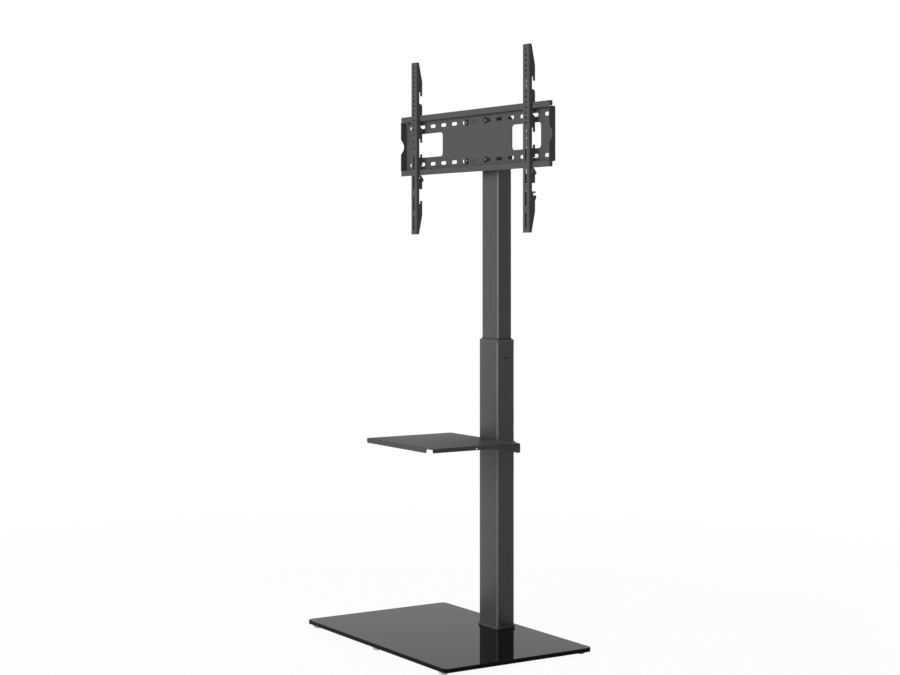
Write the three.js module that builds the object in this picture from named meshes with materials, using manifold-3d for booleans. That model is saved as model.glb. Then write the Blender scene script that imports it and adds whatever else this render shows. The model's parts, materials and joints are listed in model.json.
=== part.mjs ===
// Floor stand for a flat screen: a glass base, a telescopic steel column, a sliding media
// shelf, and a folded rail plate that carries two hooked mounting arms.
// Millimetres, +Z up. The origin is on the floor under the middle of the base.
// +X is to the right for someone who faces the screen side, and -Y is that front side.

import * as THREE from 'three';
import { mergeVertices } from 'three/addons/utils/BufferGeometryUtils.js';
import Module from 'manifold-3d';

const wasm = await Module();
wasm.setup();

// Clearances and counts that every piece shares
const restGap = 0.3;
const runningGap = 0.1;
const cutOverrun = 6;
const weldTolerance = 0.0001;
const roundSides = 16;
const boltSides = 12;
const holeSides = 8;
const arcSteps = 1;
const shoulderSteps = 3;

// Base: toughened glass on six feet
const glassWidth = 660;
const glassDepth = 420;
const glassThickness = 10;
const glassCornerRadius = 15;
const glassArris = 1;
const footHeight = 8;
const footTopRadius = 12;
const footTipRadius = 10;
const footEdgeRound = 1.5;
const footInsetX = 30;
const footInsetY = 15;

// Column: lower tube, and an upper tube that telescopes out of it
const columnRearMargin = 27.4;
const lowerTubeWidth = 82.4;
const lowerTubeDepth = 52.4;
const lowerTubeWall = 2;
const lowerTubeRound = 4.6;
const lowerTubeLength = 716;
const tubeSpace = 3.2;
const upperTubeWall = 2;
const upperTubeRound = 3.6;
const tubeInsertion = 196;
const headRise = 66;

// Column foot: what bolts the tube through the glass
const footGasketThickness = 1;
const trimProud = 2.4;
const trimHeight = 6;
const footBlockHeight = 14;
const footBlockRound = 2.5;
const clampPlateWidth = 120;
const clampPlateDepth = 50;
const clampPlateThickness = 2.5;
const clampPlateRound = 8;
const clampGasketThickness = 1;
const baseBoltRadius = 4;
const baseBoltHeadRadius = 7;
const baseBoltHeadHeight = 2.6;
const baseBoltSpacingX = 48;
const baseBoltSpacingY = 24;
const baseBoltTipShort = 2;
const glassHoleClearance = 1.5;
const boltHoleClearance = 0.3;

// Column guides, cap and the screw that locks the height
const collarHeight = 8.5;
const collarSkirt = 52;
const shoeHeight = 12;
const shoePlug = 25;
const capHeight = 3;
const capPlug = 14;
const capWall = 2;
const lockScrewDrop = 37.6;
const lockScrewRadius = 2;
const lockScrewRecess = 1;
const lockSocketRadius = 1.2;
const lockSocketDepth = 1.8;
const lockSlotLength = 9.4;
const lockSlotHeight = 5;

// Shelf: a folded tray on a strap clamp
const trayTopHeight = 496;
const trayWidth = 311;
const trayDepth = 258;
const traySheet = 2;
const trayCornerRadius = 6;
const trayBendRadius = 2.6;
const traySideFlange = 10;
const trayFrontFlange = 11.7;
const trayFrontRelief = 28;
const trayFrontSlant = 4;
const trayReliefWidth = 9;
const trayTabChamfer = 3;
const traySideSetback = 4;
const trayRearFlange = 25;
const trayRearCorner = 5;
const traySideHoleRadius = 2;
const shelfStandoff = 8.2;
const saddleThickness = 3;
const saddleHalfWidth = 62;
const saddleTopDrop = 2;
const saddleHeight = 22;
const frontPadHalfWidth = 36;
const strapThickness = 2.5;
const strapHeight = 15;
const strapCentreDrop = 17.5;
const rearPadThickness = 1.5;
const rearPadHalfWidth = 34;
const clampBoltOffset = 53;
const clampBoltRadius = 3;
const clampHeadRadius = 5.5;
const clampHeadHeight = 3.5;
const clampNutRadius = 5.8;
const clampNutHeight = 5;
const clampBoltSpare = 1.5;

// Rail plate: a hat section with folded ends
const plateCentreHeight = 1242.6;
const plateWidth = 672;
const plateHeight = 156;
const plateWebHeight = 130;
const plateDepth = 19.5;
const plateSheet = 2;
const plateBendRadius = 2.5;
const plateEarDepth = 9.6;
const plateEarRound = 3;
const plateEndRound = 3;
const plateNotchDepth = 9.5;
const plateNotchMouth = 46;
const plateNotchFloor = 18;
const plateSlotPitch = 51;
const plateSlotCount = 13;
const plateSlotLength = 26;
const plateSlotWidth = 9;
const plateSlotRowSpacing = 98;
const windowWidth = 122;
const windowHeight = 62;
const windowRound = 9;
const windowCentreOffset = 217.5;

// Bracket between the column head and the rail plate
const bracketReach = 39.4;
const bracketPlateWidth = 98;
const bracketPlateHeight = 124;
const bracketPlateThickness = 3;
const bracketPlateRound = 4;
const weldNutRadius = 6;
const weldNutHeight = 6.5;
const cheekThickness = 3;
const cheekHeight = 120;
const crossBoltSpacing = 60;
const crossBoltRadius = 4;
const crossHeadRadius = 7.5;
const crossHeadHeight = 5.3;
const crossNutHeight = 6.5;
const crossBoltSpare = 3;
const plateBoltRadius = 4;
const plateBoltHeadRadius = 7.2;
const plateBoltHeadHeight = 3.4;
const plateBoltTipShort = 1;
const washerRadius = 8;
const washerThickness = 1.2;

// Arms: U channels with hooks cut into both flanges. Depths are measured back from the
// front face of the strip, and drops are measured down from the top of the arm.
const armLength = 450;
const armWidth = 26.8;
const armDepth = 18;
const armSheet = 2;
const armBendRadius = 2.6;
const armSpacing = 508.8;
const armFloorDepth = 9;
const armTipDepth = 12.5;
const armEndDepth = 7.8;
const armEndTaper = 50.5;
const armLipGap = 0.9;
const armTopShoulder = 9.4;
const hookPitch = 61;
const mainHookDrop = 138.8;
const hookTipLength = 10.3;
const hookMouth = 19.8;
const lowerHookRise = 8.3;
const lowerHookSeatDrop = 248.4;
const lowerMouthTop = 270.7;
const lowerMouthPitch = 61;
const armHoleRadius = 3.2;
const armHoleFirstDrop = 13.4;
const armHolePitch = 12.5;
const armHoleCount = 15;
const armSpareHoleDrops = [207, 225.5];
const armSlotLength = 37.6;
const armSlotFirstDrop = 263;
const armSlotPitch = 52.8;
const armSlotCount = 4;

// Bent tab and long hook at the bottom of the right arm only
const tabDrop = 353.6;
const tabThickness = 3.8;
const tabDepth = 19.8;
const longFloorDepth = 12.8;
const longTipInner = 14;
const longTipOuter = 21.4;
const longTipDrop = 361.3;
const longTipBend = 367;

// Latch between the flanges of each arm. Its outline is measured from its pivot pin.
const latchPivotDepth = 12.9;
const latchPivotDrop = 321.7;
const latchSideGap = 0.8;
const latchSheet = 2;
const latchWebTop = 8;
const latchHubRadius = 5;
const latchPinRadius = 2;
const latchPinProud = 0.8;
const latchToothGap = 0.4;
const latchToothTop = 31.5;
const latchToothThickness = 2.6;
const latchToothRootRise = 27.8;
const latchLedgeDepth = 2.8;
const latchLedgeRise = 26;
const latchLedgeHeight = 1.6;
const latchStemFront = 0.2;
const latchStemTopRise = 22.4;
const latchStemFootRise = 13.6;
const latchShoulderDepth = 5;
const latchShoulderRise = 9.4;
const latchNeckRise = 6.5;
const latchNubDepth = 11.4;
const latchNubRise = 12.8;
const latchNubHeight = 2.6;

// Heights and depths worked out from the sizes above
const glassTop = footHeight + glassThickness;
const tubeFoot = glassTop + footGasketThickness;
const lowerTubeTop = tubeFoot + lowerTubeLength;
const columnY = glassDepth / 2 - columnRearMargin - lowerTubeDepth / 2;
const upperTubeWidth = lowerTubeWidth - 2 * lowerTubeWall - 2 * tubeSpace;
const upperTubeDepth = lowerTubeDepth - 2 * lowerTubeWall - 2 * tubeSpace;
const guideWidth = lowerTubeWidth - 2 * lowerTubeWall - 2 * restGap;
const guideDepth = lowerTubeDepth - 2 * lowerTubeWall - 2 * restGap;
const guideRound = lowerTubeRound - lowerTubeWall;
const upperTubeFoot = lowerTubeTop - tubeInsertion;
const upperTubeTop = plateCentreHeight + headRise;
const plateBackY = columnY - upperTubeDepth / 2 - bracketReach;
const plateFrontY = plateBackY - plateDepth;
const plateTop = plateCentreHeight + plateHeight / 2;
const plateBoltOffset = plateSlotPitch - plateSlotLength / 2 + plateSlotWidth / 2;
const armFrontY = plateFrontY - armLipGap - armFloorDepth;
const armTop = plateTop + restGap + mainHookDrop;

const powderCoat = { color: 0x1b1c1e, roughness: 0.5, metalness: 0.2 };
const darkSteel = { color: 0x2a2a2c, roughness: 0.35, metalness: 0.8 };
const zincSteel = { color: 0x8d8f92, roughness: 0.35, metalness: 0.9 };
const blackGlass = { color: 0x08090a, roughness: 0.08, metalness: 0.0 };
const paleRubber = { color: 0x9a9a98, roughness: 0.8, metalness: 0.0 };
const blackRubber = { color: 0x101010, roughness: 0.85, metalness: 0.0 };
const blackPlastic = { color: 0x18191a, roughness: 0.6, metalness: 0.0 };

const stand = new THREE.Group();

// A closed geometry becomes a solid that can be joined and cut
function toSolid(geometry) {
  const bare = geometry.clone();
  bare.deleteAttribute('normal');
  bare.deleteAttribute('uv');
  const merged = mergeVertices(bare, weldTolerance);
  return new wasm.Manifold(new wasm.Mesh({
    numProp: 3,
    vertProperties: new Float32Array(merged.attributes.position.array),
    triVerts: new Uint32Array(merged.index.array),
  }));
}

function toGeometry(solid) {
  const mesh = solid.getMesh();
  const geometry = new THREE.BufferGeometry();
  geometry.setAttribute('position', new THREE.BufferAttribute(new Float32Array(mesh.vertProperties), 3));
  geometry.setIndex(new THREE.BufferAttribute(new Uint32Array(mesh.triVerts), 1));
  geometry.computeVertexNormals();
  return geometry;
}

function addPart(name, solid, finish) {
  const mesh = new THREE.Mesh(toGeometry(solid), new THREE.MeshStandardMaterial(finish));
  mesh.name = name;
  stand.add(mesh);
  return mesh;
}

// Outlines
function roundedRectangle(width, height, radius) {
  const shape = new THREE.Shape();
  const x = width / 2 - radius;
  const y = height / 2 - radius;
  shape.absarc(x, y, radius, 0, Math.PI / 2);
  shape.absarc(-x, y, radius, Math.PI / 2, Math.PI);
  shape.absarc(-x, -y, radius, Math.PI, 1.5 * Math.PI);
  shape.absarc(x, -y, radius, 1.5 * Math.PI, 2 * Math.PI);
  shape.closePath();
  return shape;
}

function polygon(points) {
  return new THREE.Shape(points.map(([x, y]) => new THREE.Vector2(x, y)));
}

// Extrusions along each axis, between two stations on that axis
function alongZ(shape, low, high, steps = arcSteps) {
  const geometry = new THREE.ExtrudeGeometry(shape, {
    depth: high - low, bevelEnabled: false, curveSegments: steps,
  });
  return toSolid(geometry.translate(0, 0, low));
}

// The outline's first coordinate runs along Y and its second along Z
function alongX(shape, low, high, steps = arcSteps) {
  const geometry = new THREE.ExtrudeGeometry(shape, {
    depth: high - low, bevelEnabled: false, curveSegments: steps,
  });
  const turn = new THREE.Matrix4().set(0, 0, 1, low, 1, 0, 0, 0, 0, 1, 0, 0, 0, 0, 0, 1);
  return toSolid(geometry.applyMatrix4(turn));
}

// The outline's first coordinate runs along X and its second along Z
function alongY(shape, low, high, steps = arcSteps) {
  const geometry = new THREE.ExtrudeGeometry(shape, {
    depth: high - low, bevelEnabled: false, curveSegments: steps,
  });
  const turn = new THREE.Matrix4().set(1, 0, 0, 0, 0, 0, -1, high, 0, 1, 0, 0, 0, 0, 0, 1);
  return toSolid(geometry.applyMatrix4(turn));
}

function rodZ(radius, low, high, sides = boltSides) {
  const geometry = new THREE.CylinderGeometry(radius, radius, high - low, sides);
  return toSolid(geometry.rotateX(Math.PI / 2).translate(0, 0, (low + high) / 2));
}

function rodX(radius, low, high, sides = boltSides) {
  const geometry = new THREE.CylinderGeometry(radius, radius, high - low, sides);
  return toSolid(geometry.rotateZ(Math.PI / 2).translate((low + high) / 2, 0, 0));
}

function rodY(radius, low, high, sides = boltSides) {
  const geometry = new THREE.CylinderGeometry(radius, radius, high - low, sides);
  return toSolid(geometry.translate(0, (low + high) / 2, 0));
}

function joined(solids) {
  return solids.reduce((whole, piece) => whole.add(piece));
}

function slotShape(length, width) {
  return roundedRectangle(length, width, width / 2);
}

const columnMove = (solid) => solid.translate([0, columnY, 0]);

// Base glass, drilled for the four column bolts
function baseBoltPlaces() {
  const places = [];
  for (const sideX of [-1, 1]) {
    for (const sideY of [-1, 1]) {
      places.push([sideX * baseBoltSpacingX / 2, columnY + sideY * baseBoltSpacingY / 2]);
    }
  }
  return places;
}

function baseGlass() {
  const outline = roundedRectangle(glassWidth, glassDepth, glassCornerRadius);
  const geometry = new THREE.ExtrudeGeometry(outline, {
    depth: glassThickness - 2 * glassArris,
    bevelEnabled: true,
    bevelThickness: glassArris,
    bevelSize: glassArris,
    bevelOffset: -glassArris,
    bevelSegments: 1,
    curveSegments: arcSteps + 2,
  });
  let solid = toSolid(geometry.translate(0, 0, footHeight + glassArris));
  for (const [x, y] of baseBoltPlaces()) {
    const drill = rodZ(baseBoltRadius + glassHoleClearance, footHeight - cutOverrun, glassTop + cutOverrun);
    solid = solid.subtract(drill.translate([x, y, 0]));
  }
  return solid;
}

// One moulded foot, as a turned profile from its tip up to the glass
function baseFoot() {
  const profile = [
    [0, 0],
    [footTipRadius - footEdgeRound, 0],
    [footTipRadius, footEdgeRound],
    [footTopRadius, footHeight],
    [0, footHeight],
  ].map(([radius, height]) => new THREE.Vector2(radius, height));
  const geometry = new THREE.LatheGeometry(profile, roundSides);
  return toSolid(geometry.rotateX(Math.PI / 2));
}

function clampLayer(low, high, holeRadius) {
  let solid = columnMove(alongZ(
    roundedRectangle(clampPlateWidth, clampPlateDepth, clampPlateRound), low, high));
  for (const [x, y] of baseBoltPlaces()) {
    const drill = rodZ(holeRadius, low - cutOverrun, high + cutOverrun);
    solid = solid.subtract(drill.translate([x, y, 0]));
  }
  return solid;
}

function footGasket() {
  const width = lowerTubeWidth + 2 * restGap + 2 * trimProud;
  const depth = lowerTubeDepth + 2 * restGap + 2 * trimProud;
  const round = lowerTubeRound + trimProud;
  let solid = columnMove(alongZ(roundedRectangle(width, depth, round), glassTop, tubeFoot));
  for (const [x, y] of baseBoltPlaces()) {
    const drill = rodZ(baseBoltRadius + boltHoleClearance, glassTop - cutOverrun, tubeFoot + cutOverrun);
    solid = solid.subtract(drill.translate([x, y, 0]));
  }
  return solid;
}

function footBlock() {
  const top = tubeFoot + footBlockHeight;
  let solid = columnMove(alongZ(roundedRectangle(guideWidth, guideDepth, footBlockRound), tubeFoot, top));
  for (const [x, y] of baseBoltPlaces()) {
    const drill = rodZ(baseBoltRadius + runningGap, tubeFoot - cutOverrun, top + cutOverrun);
    solid = solid.subtract(drill.translate([x, y, 0]));
  }
  return solid;
}

// Low-headed bolt that comes up through the clamp plate and the glass
function baseBolt() {
  const seat = footHeight - clampGasketThickness - clampPlateThickness;
  const tip = tubeFoot + footBlockHeight - baseBoltTipShort;
  return rodZ(baseBoltHeadRadius, seat - baseBoltHeadHeight, seat)
    .add(rodZ(baseBoltRadius, seat - baseBoltHeadHeight / 2, tip));
}

function trimCollar() {
  const inside = roundedRectangle(
    lowerTubeWidth + 2 * restGap, lowerTubeDepth + 2 * restGap, lowerTubeRound);
  const outside = roundedRectangle(
    lowerTubeWidth + 2 * restGap + 2 * trimProud,
    lowerTubeDepth + 2 * restGap + 2 * trimProud, lowerTubeRound + trimProud);
  const top = tubeFoot + trimHeight;
  return columnMove(alongZ(outside, tubeFoot, top)
    .subtract(alongZ(inside, tubeFoot - cutOverrun, top + cutOverrun)));
}

// Column tubes
function hollowTube(width, depth, wall, round, low, high) {
  const outside = roundedRectangle(width, depth, round);
  const inside = roundedRectangle(width - 2 * wall, depth - 2 * wall, round - wall);
  return columnMove(alongZ(outside, low, high)
    .subtract(alongZ(inside, low - cutOverrun, high + cutOverrun)));
}

const lockScrewHeight = lowerTubeTop - lockScrewDrop;
const lockScrewTip = upperTubeWidth / 2 + restGap;

function lowerTube() {
  const tube = hollowTube(
    lowerTubeWidth, lowerTubeDepth, lowerTubeWall, lowerTubeRound, tubeFoot, lowerTubeTop);
  const opening = alongX(
    slotShape(lockSlotLength, lockSlotHeight), lockScrewTip, lowerTubeWidth / 2 + cutOverrun);
  return tube.subtract(opening.translate([0, columnY, lockScrewHeight]));
}

function crossBoltHeights() {
  return [-1, 1].map((side) => plateCentreHeight + side * crossBoltSpacing / 2);
}

function upperTube() {
  let tube = hollowTube(
    upperTubeWidth, upperTubeDepth, upperTubeWall, upperTubeRound, upperTubeFoot, upperTubeTop);
  const reach = upperTubeWidth / 2 + cutOverrun;
  for (const height of crossBoltHeights()) {
    const drill = rodX(crossBoltRadius + boltHoleClearance, -reach, reach);
    tube = tube.subtract(drill.translate([0, columnY, height]));
  }
  return tube;
}

// Guide collar: a cap flush with the lower tube and a skirt down inside it
function topCollar() {
  const top = lowerTubeTop + collarHeight;
  const cap = alongZ(
    roundedRectangle(lowerTubeWidth, lowerTubeDepth, lowerTubeRound), lowerTubeTop, top);
  const skirt = alongZ(
    roundedRectangle(guideWidth, guideDepth, guideRound), lowerTubeTop - collarSkirt, top);
  const bore = alongZ(
    roundedRectangle(upperTubeWidth + 2 * restGap, upperTubeDepth + 2 * restGap, upperTubeRound),
    lowerTubeTop - collarSkirt - cutOverrun, top + cutOverrun);
  const tapped = rodX(lockScrewRadius + runningGap, 0, lowerTubeWidth)
    .translate([0, 0, lockScrewHeight]);
  return columnMove(cap.add(skirt).subtract(bore).subtract(tapped));
}

// Plug shape that both ends of the upper tube share
function tubePlug(low, high) {
  return alongZ(roundedRectangle(
    upperTubeWidth - 2 * upperTubeWall - 2 * restGap,
    upperTubeDepth - 2 * upperTubeWall - 2 * restGap,
    upperTubeRound - upperTubeWall), low, high);
}

function slideShoe() {
  const block = alongZ(
    roundedRectangle(guideWidth, guideDepth, guideRound), upperTubeFoot - shoeHeight, upperTubeFoot);
  return columnMove(block.add(tubePlug(upperTubeFoot - shoeHeight / 2, upperTubeFoot + shoePlug)));
}

function headCap() {
  const top = upperTubeTop + capHeight;
  const lid = alongZ(
    roundedRectangle(upperTubeWidth, upperTubeDepth, upperTubeRound), upperTubeTop, top);
  const plug = tubePlug(upperTubeTop - capPlug, upperTubeTop + capHeight / 2);
  const hollow = alongZ(roundedRectangle(
    upperTubeWidth - 2 * upperTubeWall - 2 * restGap - 2 * capWall,
    upperTubeDepth - 2 * upperTubeWall - 2 * restGap - 2 * capWall,
    upperTubeRound - upperTubeWall), upperTubeTop - capPlug - cutOverrun, upperTubeTop);
  return columnMove(lid.add(plug).subtract(hollow));
}

// Grub screw in the collar skirt, reached through the slot in the lower tube
function lockScrew() {
  const end = lowerTubeWidth / 2 - lockScrewRecess;
  const socket = rodX(lockSocketRadius, end - lockSocketDepth, end + cutOverrun, 6);
  return rodX(lockScrewRadius, lockScrewTip, end)
    .subtract(socket)
    .translate([0, columnY, lockScrewHeight]);
}

// Shelf
const trayBackY = columnY - lowerTubeDepth / 2 - shelfStandoff;
const trayFrontY = trayBackY - trayDepth;
const strapCentre = trayTopHeight - strapCentreDrop;
const saddleBackY = trayBackY + saddleThickness;
const columnBackY = columnY + lowerTubeDepth / 2;

// A folded side: an L section with a rounded bend, given as outward and downward distances
function bentEdge(reachInward, drop, sheet, bend) {
  const shape = new THREE.Shape();
  shape.moveTo(-reachInward, 0);
  shape.lineTo(-reachInward, -sheet);
  shape.lineTo(-bend, -sheet);
  shape.absarc(-bend, -bend, bend - sheet, Math.PI / 2, 0, true);
  shape.lineTo(-sheet, -drop);
  shape.lineTo(0, -drop);
  shape.lineTo(0, -bend);
  shape.absarc(-bend, -bend, bend, 0, Math.PI / 2);
  shape.closePath();
  return shape;
}

// Wedge that slants the right end of the front flange
function frontWedge(half) {
  const outline = polygon([
    [half, -trayFrontFlange],
    [half, -trayFrontFlange - cutOverrun],
    [half + trayFrontSlant + cutOverrun, -trayFrontFlange - cutOverrun],
    [half + trayFrontSlant + cutOverrun, -trayBendRadius],
    [half + trayFrontSlant, -trayBendRadius],
  ]);
  return alongY(outline, -cutOverrun, cutOverrun);
}

// Flat corner of the sheet, between the relief cut and the right side
function cornerTab(half) {
  const left = half + trayFrontSlant + trayReliefWidth;
  const right = trayWidth / 2 - trayBendRadius;
  const outline = polygon([
    [left, trayFrontY],
    [right - trayTabChamfer, trayFrontY],
    [right, trayFrontY + trayTabChamfer],
    [right, trayFrontY + trayBendRadius + trayCornerRadius],
    [left, trayFrontY + trayBendRadius + trayCornerRadius],
  ]);
  return alongZ(outline, trayTopHeight - traySheet, trayTopHeight);
}

function shelfTray() {
  const sheet = roundedRectangle(
    trayWidth - 2 * trayBendRadius, trayDepth - 2 * trayBendRadius, trayCornerRadius);
  const top = alongZ(sheet, trayTopHeight - traySheet, trayTopHeight)
    .translate([0, trayBackY - trayDepth / 2, 0]);
  const sideFold = bentEdge(trayCornerRadius, traySideFlange, traySheet, trayBendRadius);
  const right = alongY(sideFold, trayFrontY + traySideSetback, trayBackY - trayCornerRadius / 2)
    .translate([trayWidth / 2, 0, trayTopHeight]);
  const left = right.mirror([1, 0, 0]);
  // The front flange runs to the left corner, and stops short of the right one
  const frontFold = bentEdge(trayCornerRadius, trayFrontFlange, traySheet, trayBendRadius);
  const frontHalf = trayWidth / 2 - trayFrontRelief;
  const frontLeft = trayCornerRadius - trayWidth / 2;
  const front = alongX(frontFold, frontLeft, frontHalf + trayFrontSlant)
    .subtract(frontWedge(frontHalf))
    .mirror([0, 1, 0])
    .translate([0, trayFrontY, trayTopHeight]);
  const reach = trayWidth / 2 + cutOverrun;
  const holeHeight = trayTopHeight - (traySideFlange + traySheet) / 2;
  const sideHoles = rodX(traySideHoleRadius, -reach, reach, holeSides)
    .translate([0, trayFrontY + trayDepth / 2, holeHeight]);
  return joined([top, right, left, front, cornerTab(frontHalf), trayRear()]).subtract(sideHoles);
}

// Tall rear flange with rounded lower corners, and the holes of the two clamp bolts
function trayRear() {
  const half = trayWidth / 2 - trayBendRadius;
  const low = trayTopHeight - trayRearFlange;
  const shape = new THREE.Shape();
  shape.moveTo(-half, trayTopHeight - trayBendRadius);
  shape.absarc(-half + trayRearCorner, low + trayRearCorner, trayRearCorner, Math.PI, 1.5 * Math.PI);
  shape.absarc(half - trayRearCorner, low + trayRearCorner, trayRearCorner, 1.5 * Math.PI, 2 * Math.PI);
  shape.lineTo(half, trayTopHeight - trayBendRadius);
  shape.closePath();
  const wall = alongY(shape, trayBackY - traySheet, trayBackY);
  const bend = alongX(
    bentEdge(trayCornerRadius, trayBendRadius + traySheet, traySheet, trayBendRadius),
    -half + trayBendRadius, half - trayBendRadius)
    .translate([0, trayBackY, trayTopHeight]);
  let solid = wall.add(bend);
  for (const side of [-1, 1]) {
    const drill = rodY(
      clampBoltRadius + boltHoleClearance, trayBackY - traySheet - cutOverrun, trayBackY + cutOverrun);
    solid = solid.subtract(drill.translate([side * clampBoltOffset, 0, strapCentre]));
  }
  return solid;
}

function saddle() {
  const top = trayTopHeight - saddleTopDrop;
  const outline = roundedRectangle(2 * saddleHalfWidth, saddleHeight, trayRearCorner);
  let solid = alongY(outline, trayBackY, saddleBackY)
    .translate([0, 0, top - saddleHeight / 2]);
  for (const side of [-1, 1]) {
    const drill = rodY(
      clampBoltRadius + boltHoleClearance, trayBackY - cutOverrun, saddleBackY + cutOverrun);
    solid = solid.subtract(drill.translate([side * clampBoltOffset, 0, strapCentre]));
  }
  return solid;
}

function frontPad() {
  const top = trayTopHeight - saddleTopDrop;
  const outline = roundedRectangle(2 * frontPadHalfWidth, saddleHeight, trayRearCorner / 2);
  return alongY(outline, saddleBackY, columnY - lowerTubeDepth / 2 - restGap)
    .translate([0, 0, top - saddleHeight / 2]);
}

function rearPad() {
  const outline = roundedRectangle(2 * rearPadHalfWidth, strapHeight, trayRearCorner / 2);
  return alongY(outline, columnBackY + restGap, columnBackY + restGap + rearPadThickness)
    .translate([0, 0, strapCentre]);
}

// Strap round the back of the column, with an ear on each side for its bolt
const earFrontY = saddleBackY;
const clampNutY = earFrontY + strapThickness;

function strap() {
  const inner = lowerTubeWidth / 2 + restGap;
  const outer = inner + strapThickness;
  const innerBack = columnBackY + restGap + rearPadThickness;
  const outerBack = innerBack + strapThickness;
  const outline = polygon([
    [saddleHalfWidth, earFrontY],
    [saddleHalfWidth, earFrontY + strapThickness],
    [outer, earFrontY + strapThickness],
    [outer, outerBack - strapThickness],
    [outer - strapThickness, outerBack],
    [strapThickness - outer, outerBack],
    [-outer, outerBack - strapThickness],
    [-outer, earFrontY + strapThickness],
    [-saddleHalfWidth, earFrontY + strapThickness],
    [-saddleHalfWidth, earFrontY],
    [-inner, earFrontY],
    [-inner, innerBack],
    [inner, innerBack],
    [inner, earFrontY],
  ].reverse());
  let solid = alongZ(outline, strapCentre - strapHeight / 2, strapCentre + strapHeight / 2);
  for (const side of [-1, 1]) {
    const drill = rodY(
      clampBoltRadius + boltHoleClearance, earFrontY - cutOverrun, clampNutY + cutOverrun);
    solid = solid.subtract(drill.translate([side * clampBoltOffset, 0, strapCentre]));
  }
  return solid;
}

function clampBolt(side) {
  const seat = trayBackY - traySheet;
  const tip = clampNutY + clampNutHeight + clampBoltSpare;
  return rodY(clampHeadRadius, seat - clampHeadHeight, seat)
    .add(rodY(clampBoltRadius, seat - clampHeadHeight / 2, tip))
    .translate([side * clampBoltOffset, 0, strapCentre]);
}

function clampNut(side) {
  const end = clampNutY + clampNutHeight;
  const bore = rodY(clampBoltRadius + runningGap, clampNutY - cutOverrun, end + cutOverrun);
  return rodY(clampNutRadius, clampNutY, end, 6)
    .subtract(bore)
    .translate([side * clampBoltOffset, 0, strapCentre]);
}

// Head bracket: a front plate with weld nuts and two cheeks that straddle the upper tube
const bracketBackY = plateBackY + bracketPlateThickness;
const weldNutEnd = bracketBackY + weldNutHeight;

function plateBoltPlaces() {
  const places = [];
  for (const side of [-1, 1]) {
    for (const row of [-1, 1]) {
      places.push([side * plateBoltOffset, plateCentreHeight + row * plateSlotRowSpacing / 2]);
    }
  }
  return places;
}

function headBracket() {
  const outline = roundedRectangle(bracketPlateWidth, bracketPlateHeight, bracketPlateRound);
  const plate = alongY(outline, plateBackY, bracketBackY).translate([0, 0, plateCentreHeight]);
  const inner = upperTubeWidth / 2 + restGap;
  const rear = columnY + upperTubeDepth / 2;
  const middle = (bracketBackY + rear) / 2;
  const length = rear - bracketBackY + cheekThickness;
  const cheekOutline = roundedRectangle(length, cheekHeight, bracketPlateRound / 2);
  const cheek = alongX(cheekOutline, inner, inner + cheekThickness)
    .translate([0, middle - cheekThickness / 2, plateCentreHeight]);
  let solid = joined([plate, cheek, cheek.mirror([1, 0, 0])]);
  for (const [x, z] of plateBoltPlaces()) {
    const nut = rodY(weldNutRadius, bracketBackY - bracketPlateThickness / 2, weldNutEnd, 6);
    const drill = rodY(plateBoltRadius + runningGap, plateBackY - cutOverrun, weldNutEnd + cutOverrun);
    solid = solid.add(nut.translate([x, 0, z])).subtract(drill.translate([x, 0, z]));
  }
  const reach = inner + cheekThickness + cutOverrun;
  for (const height of crossBoltHeights()) {
    const drill = rodX(crossBoltRadius + boltHoleClearance, -reach, reach);
    solid = solid.subtract(drill.translate([0, columnY, height]));
  }
  return solid;
}

const cheekFace = upperTubeWidth / 2 + restGap + cheekThickness;

function crossBolt(height) {
  const tip = cheekFace + crossNutHeight + crossBoltSpare;
  return rodX(crossHeadRadius, cheekFace, cheekFace + crossHeadHeight, 6)
    .add(rodX(crossBoltRadius, -tip, cheekFace + crossHeadHeight / 2))
    .translate([0, columnY, height]);
}

function crossNut(height) {
  const end = -cheekFace - crossNutHeight;
  const bore = rodX(crossBoltRadius + runningGap, end - cutOverrun, cutOverrun - cheekFace);
  return rodX(crossHeadRadius, end, -cheekFace, 6)
    .subtract(bore)
    .translate([0, columnY, height]);
}

// Rail plate. Half of its hat section runs from the middle of the web up to the lip.
function hatSection() {
  const lip = plateHeight / 2;
  const web = plateWebHeight / 2;
  const back = plateDepth;
  const sheet = plateSheet;
  const outer = plateBendRadius;
  const inner = plateBendRadius - sheet;
  const shape = new THREE.Shape();
  shape.moveTo(0, -lip);
  shape.lineTo(sheet, -lip);
  shape.lineTo(sheet, -web - inner);
  shape.absarc(sheet + inner, -web - inner, inner, Math.PI, Math.PI / 2, true);
  shape.lineTo(back - outer, -web);
  shape.absarc(back - outer, -web + outer, outer, -Math.PI / 2, 0);
  shape.lineTo(back, web - outer);
  shape.absarc(back - outer, web - outer, outer, 0, Math.PI / 2);
  shape.lineTo(sheet + inner, web);
  shape.absarc(sheet + inner, web + inner, inner, -Math.PI / 2, -Math.PI, true);
  shape.lineTo(sheet, lip);
  shape.lineTo(0, lip);
  shape.lineTo(0, web + inner);
  shape.absarc(outer, web - sheet + outer, outer, Math.PI, 1.5 * Math.PI);
  shape.lineTo(back - outer, web - sheet);
  shape.absarc(back - outer, web - outer, inner, Math.PI / 2, 0, true);
  shape.lineTo(back - sheet, -web + outer);
  shape.absarc(back - outer, -web + outer, inner, 0, -Math.PI / 2, true);
  shape.lineTo(outer, sheet - web);
  shape.absarc(outer, -web + sheet - outer, outer, Math.PI / 2, Math.PI);
  shape.closePath();
  return shape;
}

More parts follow.
